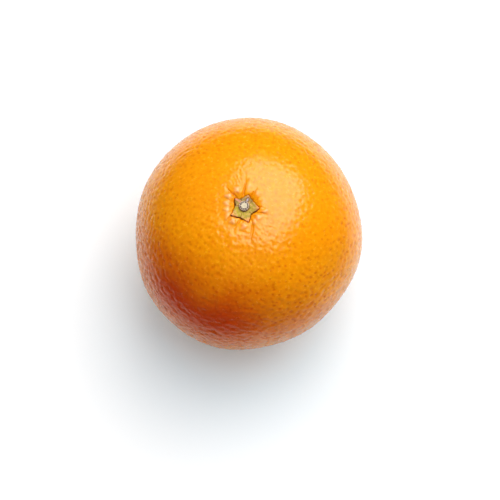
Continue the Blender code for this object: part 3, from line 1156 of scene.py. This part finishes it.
@dataclass
class Calyx:
    """The five-pointed star of sepals that lies in its socket round the stem."""

    peel: Peel
    stub: Stub
    finish: CalyxFinish = field(default_factory=CalyxFinish)
    columns: int = 480
    rows: tuple[int, int, int] = (60, 6, 12)
    rise: float = 0.42 * MM
    rise_lost: float = 0.16 * MM
    underside: float = -0.85 * MM
    side_bulge: float = 0.012
    droop: float = 0.16 * MM
    droop_width: float = 0.22 * MM
    rib_height: float = 0.12 * MM
    rib_width: float = 0.24 * MM
    rib_run_in: Span = (1.6 * MM, 2.6 * MM)
    vein_height: float = 0.04 * MM
    vein_spacing: float = 0.5 * MM
    vein_slant: float = 0.9
    vein_run_in: Span = (2.0 * MM, 3.0 * MM)
    vein_tint: float = 0.55
    vein_tint_lost: float = 0.5
    seam_depth: float = 0.16 * MM
    seam_width: float = 0.15 * MM
    seam_run_in: Span = (1.8 * MM, 2.4 * MM)
    collar_height: float = 0.1 * MM
    collar_reach: float = 2.05 * MM
    collar_width: float = 0.3 * MM
    curl_height: float = 0.12 * MM
    curl_span: Span = (3.6 * MM, 5.0 * MM)
    # A painted shadow round the stub's foot, and how it weakens away from one bearing in degrees.
    seat_shadow_span: Span = (1.6 * MM, 1.9 * MM)
    shadow_bearing: float = 245.0
    shadow_spread: float = 80.0
    shadow_least: float = 0.4
    bud_seat_span: Span = (0.42 * MM, 0.60 * MM)
    bud_seat_length: float = 2.0
    # Where the pink strip starts and ends, across and along from the stem's axis.
    strip_ends: tuple[tuple[float, float], ...] = ((-2.7 * MM, 2.7 * MM), (-1.2 * MM, 1.9 * MM))
    strip_width: float = 0.3 * MM
    # How grey-olive each sepal is, from the one at +X anticlockwise, and the middle of them all.
    tones: tuple[float, ...] = (0.3, 0.95, 0.75, 0.0, 0.1)
    middle_tone: float = 0.45
    middle_span: Span = (1.0 * MM, 2.5 * MM)
    tip_span: Span = (3.2 * MM, 4.5 * MM)
    tip_tint: float = 0.9
    rim_width: float = 0.07 * MM

    def column_bearings(self) -> np.ndarray:
        """Bearings that put every sepal's tip and every notch on a column.

        Returns:
            A bearing for each column.
        """
        corners = self.peel.stem.corners
        turns = np.array([degrees for degrees, _ in corners] + [360 + corners[0][0]])
        share = np.arange(self.columns) / self.columns * len(corners)
        return np.radians(np.interp(share, np.arange(len(turns)), turns))

    def top(self, distance: np.ndarray, bearing: np.ndarray, masks: Masks) -> np.ndarray:
        """Height of the sepals' upper side: the bed, a rib down each sepal, and an edge that droops.

        Args:
            distance: Distance from the stem's axis.
            bearing: Angle round it.
            masks: The sepals' masks.

        Returns:
            The height above the fruit's middle.
        """
        star = self.peel.stem.star(bearing)
        height = self.peel.hollow(distance) + self.rise - self.rise_lost * (distance / star) ** 2
        height -= self.droop * np.exp((distance - star) / self.droop_width)
        height += self.rib_height * masks["rib"]
        height += self.vein_height * masks["vein"]
        height -= self.seam_depth * masks["seam"]
        height += self.collar_height * hump((distance - self.collar_reach) / self.collar_width)
        return height + self.curl_height * ramp(distance, self.curl_span)

    def seat_shadow(self, distance: np.ndarray, bearing: np.ndarray) -> np.ndarray:
        """A painted shadow round the foot of the stub, strongest towards one bearing, and a dark line round
        the bud's scar.

        Args:
            distance: Distance from the stem's axis.
            bearing: Angle round it.

        Returns:
            1 under them, falling to 0 beyond the line.
        """
        across = distance * np.cos(bearing)
        along = distance * np.sin(bearing) - self.stub.beside
        # The painted shadow is strongest towards one bearing.
        below = turn_between(np.arctan2(along, across), self.shadow_bearing)
        round_stub = 1 - ramp(np.hypot(across, along), self.seat_shadow_span)
        round_stub *= blend(self.shadow_least, 1.0, hump(below / self.shadow_spread))
        turn = math.radians(self.stub.bud_bearing)
        out = across * math.cos(turn) + along * math.sin(turn) - self.stub.bud_distance
        aside = along * math.cos(turn) - across * math.sin(turn)
        round_bud = 1 - ramp(np.hypot(out / self.bud_seat_length, aside), self.bud_seat_span)
        return np.maximum(round_stub, round_bud)

    def pink_strip(self, distance: np.ndarray, bearing: np.ndarray) -> np.ndarray:
        """The narrow pink sepal at the upper left: a bell across a short line between two places.

        Args:
            distance: Distance from the stem's axis.
            bearing: Angle round it.

        Returns:
            1 along the line, falling to 0 beside it.
        """
        start, end = (np.array(place) for place in self.strip_ends)
        along = end - start
        place = np.stack([distance * np.cos(bearing), distance * np.sin(bearing)], axis=-1)
        share = np.clip((place - start) @ along / (along @ along), 0, 1)
        apart = np.linalg.norm(place - start - share[..., None] * along, axis=-1)
        return hump(apart / self.strip_width)

    def masks(self, distance: np.ndarray, bearing: np.ndarray) -> Masks:
        """The masks of the sepals, from each point's place on its own sepal.

        Args:
            distance: Distance from the stem's axis.
            bearing: Angle round it.

        Returns:
            The masks by name: tone, rib, vein, seam, tip, strip and rim.
        """
        stem = self.peel.stem
        turned = np.stack([turn_between(bearing, degrees) for degrees, _ in stem.corners])
        beside = distance * np.sin(np.radians(turned))
        own = np.abs(turned[::2]).argmin(axis=0)
        aside = np.take_along_axis(beside[::2], own[None], axis=0)[0]
        # A notch's line runs on past the axis, so only the half turn towards the notch counts.
        seams = hump(beside[1::2] / self.seam_width) * (np.abs(turned[1::2]) < 90)
        rib = hump(aside / self.rib_width) * ramp(distance, self.rib_run_in)
        veins = wave(math.tau * (distance - self.vein_slant * np.abs(aside)) / self.vein_spacing)
        veins *= self.vein_tint * ramp(distance, self.vein_run_in)
        # The edge's line: faint brown all round, and a painted shadow along some stretches.
        rim = np.exp((distance - stem.star(bearing)) / self.rim_width) * stem.edge_line_and_shadow(bearing)
        return {
            "tone": blend(self.middle_tone, np.array(self.tones)[own], ramp(distance, self.middle_span)),
            "rib": rib,
            "vein": np.clip(veins - self.vein_tint_lost * rib, 0, 1),
            "seam": seams.max(axis=0) * ramp(distance, self.seam_run_in),
            "tip": ramp(distance, self.tip_span) * self.tip_tint,
            "strip": self.pink_strip(distance, bearing),
            "rim": np.maximum(rim, self.seat_shadow(distance, bearing)),
        }

    def build(self, group: bpy.types.NodeTree) -> None:
        """Makes the calyx: its upper side out to the edge, down the edge, and back under itself.

        Args:
            group: The grain group.
        """
        reach, drop = lid_rows(*self.rows)
        reach, bearing = np.meshgrid(reach, self.column_bearings(), indexing="ij")
        drop = drop[:, None]
        distance = reach * self.peel.stem.star(bearing)
        masks = self.masks(distance, bearing)
        lower = self.peel.hollow(distance) + self.underside
        height = blend(self.top(distance, bearing, masks), lower, drop)
        out = distance * (1 + self.side_bulge * np.sin(drop * math.pi))
        across = out * np.cos(bearing) + self.peel.form.stem_offset
        points = points_of(across, out * np.sin(bearing), height) + np.array(self.peel.offset)
        add_piece("sepals", points, masks, self.finish.material(group), Node.CALYX)


@dataclass(frozen=True)
class StubFinish:
    """Cut wood: cream pith, a dark groove and a pale ring of bark with brown flecks."""

    pith: tuple = colour(0.84, 0.75, 0.54)
    ring: tuple = colour(0.30, 0.21, 0.14)
    pale_coats: tuple[Coat, ...] = (
        Coat("bark", colour(0.80, 0.68, 0.56)),
        Coat("ring", colour(0.30, 0.21, 0.14)),
        Coat("bud", colour(0.82, 0.72, 0.74)),
    )
    dark_coats: tuple[Coat, ...] = (
        Coat("groove", colour(0.075, 0.035, 0.035)),
        Coat("side", colour(0.17, 0.10, 0.045)),
    )
    flecks: tuple[Span, Span] = ((0.45, 0.75), (0.0, 0.55))
    grain: Grain = Grain(4200.0, 0.25, (0.68, 0.90), 0.6, 0.05 * MM)

    def material(self, name: str, group: bpy.types.NodeTree) -> bpy.types.Material:
        """Builds the finish.

        Args:
            name: The material's name.
            group: The grain group.

        Returns:
            The material.
        """
        material, tree, shader = new_material(name)
        grain = self.grain.apply(tree, shader, group)
        ground = tree.cover(self.pith, self.pale_coats)
        ground = tree.mix(tree.spread(grain, *self.flecks), ground, self.ring)
        tree.feed(shader, {"Base Color": tree.cover(ground, self.dark_coats)})
        return material


@dataclass
class Stub:
    """The cut stub of the stem, and the scar of a bud beside it."""

    peel: Peel
    finish: StubFinish = field(default_factory=StubFinish)
    columns: int = 192
    rows: tuple[int, int, int] = (40, 7, 4)
    radius: float = 1.56 * MM
    height: float = 0.72 * MM
    sunk: float = 0.45 * MM
    beside: float = 0.4 * MM
    above_bed: float = 0.55 * MM
    lean: float = math.radians(3)
    side_bulge: float = 0.02
    side_share: Span = (0.0, 1 / 3)
    # Waves round the stub have a count, a height and a phase. These bend its outline and its rings.
    outline_waves: tuple[Triple, ...] = ((5, 0.015, 1.0),)
    ring_waves: tuple[Triple, ...] = ((3, 0.045, 0.6), (7, 0.03, 0.0))
    ring_spacing: float = 0.27 * MM
    ring_height: float = 0.02 * MM
    ring_tint: float = 0.45
    pith_edge: Span = (0.9 * MM, 1.0 * MM)
    pith_height: float = 0.05 * MM
    groove_radius: float = 1.14 * MM
    groove_width: float = 0.16 * MM
    groove_depth: float = 0.24 * MM
    groove_tint: float = 2.2
    dash_count: int = 11
    dash_depth: float = 0.45
    # Waves that shift the dashes, and below them the beads, to either hand.
    dash_wander: tuple[Triple, ...] = ((3, 1.5, 0.0),)
    bark_crown: float = 1.41 * MM
    bark_width: float = 0.2 * MM
    bark_drop: float = 0.12 * MM
    bead_count: int = 15
    bead_height: float = 0.11 * MM
    bead_wander: tuple[Triple, ...] = ((2, 0.8, 1.0),)
    bead_tint: float = 0.85
    bud_columns: int = 64
    bud_rows: int = 24
    bud_bearing: float = 63.0
    bud_distance: float = 2.1 * MM
    bud_radius: float = 0.36 * MM
    bud_length: float = 2.2
    bud_height: float = 0.62 * MM
    bud_groove: float = 0.62
    bud_groove_width: float = 0.16
    bud_groove_depth: float = 0.35
    bud_side: Span = (1.2, 1.5)

    def face(self, distance: np.ndarray, bearing: np.ndarray) -> tuple[np.ndarray, Masks]:
        """The cut face: rings in the pith, a groove broken into dashes, and beads round the bark.

        Args:
            distance: Distance from the stub's axis.
            bearing: Angle round it.

        Returns:
            The height above the stub's rim, and the masks by name.
        """
        bent = distance * (1 + ripple(bearing, self.ring_waves))
        rings = wave(math.tau * bent / self.ring_spacing)
        pith = 1 - ramp(bent, self.pith_edge)
        dashes = np.cos(self.dash_count * bearing + ripple(bearing, self.dash_wander))
        groove = hump((bent - self.groove_radius) / self.groove_width)
        groove *= 1 - self.dash_depth * (1 - dashes)
        beads = wave(self.bead_count * bearing + ripple(bearing, self.bead_wander))
        crown = hump((bent - self.bark_crown) / self.bark_width)
        height = (self.pith_height + self.ring_height * rings) * pith
        height += self.bead_height * beads * crown - self.groove_depth * groove
        height -= self.bark_drop * ramp(distance, (self.radius - self.bark_width, self.radius))
        brown = (1 - rings) * pith * self.ring_tint + (1 - beads) * crown * self.bead_tint
        masks = {
            "bark": 1 - pith,
            "ring": np.clip(brown, 0, 1),
            "groove": np.clip(groove * self.groove_tint, 0, 1),
        }
        return height, masks

    def build(self, group: bpy.types.NodeTree) -> None:
        """Makes the stub, a face of rings with a side below it, and the bud's scar.

        Args:
            group: The grain group.
        """
        reach, drop = lid_rows(*self.rows)
        reach, bearing = grid(reach, self.columns)
        drop = np.broadcast_to(drop[:, None], reach.shape)
        face, masks = self.face(reach * self.radius, bearing)
        bulge = self.side_bulge * np.sin(drop * math.pi)
        out = reach * self.radius * (1 + bulge + ripple(bearing, self.outline_waves) * reach)
        along = out * np.sin(bearing)
        height = blend(self.height + face, -self.sunk, drop) + along * math.sin(self.lean)
        bed = float(self.peel.hollow(self.radius + self.beside))
        foot = Vector((self.peel.form.stem_offset, self.beside, bed + self.above_bed)) + self.peel.offset
        masks = {name: values * (1 - drop) for name, values in masks.items()}
        masks.update({"side": ramp(drop, self.side_share), "bud": np.zeros_like(drop)})
        points = points_of(out * np.cos(bearing), along, height) + np.array(foot)
        add_piece("stem_end", points, masks, self.finish.material("stem", group), Node.STUB)
        self.build_bud(group, foot)

    def build_bud(self, group: bpy.types.NodeTree, foot: Vector) -> None:
        """Makes the bud's scar: a low oval dome with a groove round its pale middle.

        Args:
            group: The grain group.
            foot: The stub's foot.
        """
        fall, bearing = grid(np.linspace(0, math.pi, self.bud_rows + 2)[1:-1], self.bud_columns)
        level = np.sin(fall)
        groove = hump((level - self.bud_groove) / self.bud_groove_width) * (fall < math.pi / 2)
        up = self.bud_height * (np.cos(fall) - self.bud_groove_depth * groove)
        turn = math.radians(self.bud_bearing)
        aside = self.bud_radius * level * np.cos(bearing)
        out = self.bud_radius * self.bud_length * level * np.sin(bearing)
        across = out * math.cos(turn) - aside * math.sin(turn)
        along = out * math.sin(turn) + aside * math.cos(turn)
        middle = foot + Vector((math.cos(turn), math.sin(turn), 0.0)) * self.bud_distance
        none = np.zeros_like(level)
        masks = {"bark": none, "ring": none, "groove": groove}
        masks.update({"side": ramp(fall, self.bud_side), "bud": np.ones_like(level)})
        points = points_of(across, along, up) + np.array(middle)
        add_piece("bud_scar", points, masks, self.finish.material("bud", group), None)


@dataclass(frozen=True)
class SoftLight:
    """A rectangular soft light that faces the orange."""

    name: str
    toward: Triple
    distance: float
    width: float
    height: float
    radiance: float
    roll: float = 0.0
    hidden: bool = False

    def build(self, middle: Vector) -> None:
        """Puts the light at its distance from a point, facing it.

        Args:
            middle: The point.
        """
        lamp = bpy.data.lights.new(self.name, "AREA")
        lamp.shape = "RECTANGLE"
        lamp.size = self.width
        lamp.size_y = self.height
        lamp.energy = self.radiance * math.pi * self.width * self.height
        item = bpy.data.objects.new(self.name, lamp)
        way = Vector(self.toward).normalized()
        item.location = middle + way * self.distance
        roll = Quaternion((0.0, 0.0, 1.0), math.radians(self.roll))
        item.rotation_euler = (way.to_track_quat("Z", "Y") @ roll).to_euler()
        item.visible_camera = False
        item.visible_glossy = not self.hidden
        bpy.context.scene.collection.objects.link(item)


@dataclass(frozen=True)
class Studio:
    """The pale floor, the even light from all round, and the soft lights."""

    floor: tuple = colour(0.88, 0.88, 0.88)
    floor_radius: float = 4.0
    floor_sides: int = 128
    floor_height: float = -0.02 * MM
    floor_roughness: float = 0.85
    glow: float = 0.135
    # The floor's colour close to the orange, and how it fades from the middle of the shadow.
    close: tuple = colour(0.68, 0.80, 0.87)
    close_middle: Triple = (-0.003, -0.017, 0.0)
    close_span: Span = (0.03, 0.088)
    close_curve: float = 1.9
    # How the floor goes dark in reflections as it gets further away.
    mirror_middle: Triple = (-0.004, 0.06, 0.0)
    mirror_span: Span = (0.10, 0.21)
    mirror_darkness: Span = (0.12, 1.0)
    around: float = 0.17
    backdrop: float = 0.82
    backdrop_span: Span = (0.22, 0.9)
    white: tuple = colour(1.0, 1.0, 1.0)
    lights: tuple[SoftLight, ...] = (
        SoftLight("key", (0.318, 0.362, 0.876), 0.9, 0.90, 1.25, 2.72, roll=22.5),
        SoftLight("side", (-0.45, 0.55, 0.70), 1.6, 1.8, 1.8, 0.5, hidden=True),
        SoftLight("front", (0.1, -0.45, 0.88), 1.6, 1.2, 1.2, 0.5, hidden=True),
    )

    def floor_material(self) -> bpy.types.Material:
        """Plain pale board.

        It is a little cooler close to the orange, to even out the warm light that the orange throws. It
        glows a little, as a light table does. Mirrored in the peel it fades to dark further away, as the
        edge of a table does. Seen from afar it blends into the backdrop, and from below it is clear.

        Returns:
            The material.
        """
        material, tree, shader = new_material("board")
        near = tree.spread(tree.measure("DISTANCE", self.close_middle), self.close_span, (1.0, 0.0))
        pale = tree.mix(tree.maths("POWER", near, self.close_curve), self.floor, self.close)
        inputs = {"Base Color": pale, "Roughness": self.floor_roughness}
        inputs.update({"Emission Color": self.white, "Emission Strength": self.glow})
        tree.feed(shader, inputs)

        path = tree.node("LightPath").outputs
        aside = tree.spread(
            tree.measure("DISTANCE", self.mirror_middle), self.mirror_span, self.mirror_darkness
        )
        mirrored = tree.maths("MULTIPLY", path["Is Glossy Ray"], aside)
        far = tree.spread(tree.measure("DISTANCE", (0.0, 0.0, 0.0)), self.backdrop_span, (0.0, 1.0))
        seen = tree.maths("MULTIPLY", path["Is Camera Ray"], far)
        dark = tree.node("Emission", {"Strength": 0.0}).outputs[0]
        bright = tree.node("Emission", {"Strength": self.backdrop}).outputs[0]
        below = tree.node("NewGeometry").outputs["Backfacing"]
        clear = tree.node("BsdfTransparent").outputs[0]
        board = shader.outputs[0]
        for share, other in ((mirrored, dark), (seen, bright), (below, clear)):
            board = tree.node("MixShader", {0: share, 1: board, 2: other}).outputs[0]
        tree.feed(tree.tree.nodes["Material Output"], {"Surface": board})
        return material

    def lay_floor(self) -> None:
        """Lays a round flat floor just under the orange, which is no piece of it."""
        turns = np.arange(self.floor_sides) * math.tau / self.floor_sides
        edge = self.floor_radius
        circle = points_of(edge * np.cos(turns), edge * np.sin(turns), self.floor_height)
        mesh = bpy.data.meshes.new("floor")
        mesh.from_pydata(circle.tolist(), [], [list(range(self.floor_sides))])
        mesh.materials.append(self.floor_material())
        floor = bpy.data.objects.new("floor", mesh)
        bpy.context.scene.collection.objects.link(floor)

    def build(self, middle: Vector) -> None:
        """Lays the floor and lights the scene.

        Args:
            middle: The orange's middle, which the lights face.
        """
        self.lay_floor()
        world = bpy.data.worlds.new("studio")
        world.use_nodes = True
        tree = Tree(world.node_tree)
        seen = tree.node("LightPath").outputs["Is Camera Ray"]
        strength = tree.spread(seen, (0.0, 1.0), (self.around, self.backdrop))
        tree.feed(world.node_tree.nodes["Background"], {"Color": self.white, "Strength": strength})
        world.cycles_visibility.glossy = False
        bpy.context.scene.world = world
        for light in self.lights:
            light.build(middle)
        LOG.info("studio: floor, sky and %d soft lights", len(self.lights))


@dataclass(frozen=True)
class Viewpoint:
    """Where the photograph was taken from: almost straight above, a little to the front."""

    elevation: float = math.radians(76.8)
    distance: float = 0.6
    lens: float = 129.6
    aim_right: float = 0.34 * MM
    aim_up: float = -5.38 * MM
    clip: Span = (0.01, 20.0)

    def build(self, middle: Vector) -> None:
        """Makes the camera.

        Args:
            middle: The orange's middle, from which the aim is counted.
        """
        back = Vector((0.0, -math.cos(self.elevation), math.sin(self.elevation)))
        up = Vector((0.0, math.sin(self.elevation), math.cos(self.elevation)))
        aim = middle + Vector((self.aim_right, 0.0, 0.0)) + up * self.aim_up
        data = bpy.data.cameras.new("camera")
        data.lens = self.lens
        data.clip_start, data.clip_end = self.clip
        camera = bpy.data.objects.new("camera", data)
        camera.location = aim + back * self.distance
        camera.rotation_euler = (-back).to_track_quat("-Z", "Y").to_euler()
        bpy.context.scene.collection.objects.link(camera)
        bpy.context.scene.camera = camera


def main() -> None:
    """Builds the orange piece by piece, then the studio and the camera."""
    logging.basicConfig(level=logging.INFO, format="%(name)s: %(message)s")
    view = bpy.context.scene.view_settings
    view.view_transform = "Standard"
    view.look = "Medium High Contrast"
    middle = (CAD_BOX[0] + CAD_BOX[1]) / 2
    group = grain_group()
    peel = Peel()
    stub = Stub(peel)
    peel.build(group)
    Calyx(peel, stub).build(group)
    stub.build(group)
    Studio().build(middle)
    Viewpoint().build(middle)


if __name__ == "__main__":
    main()
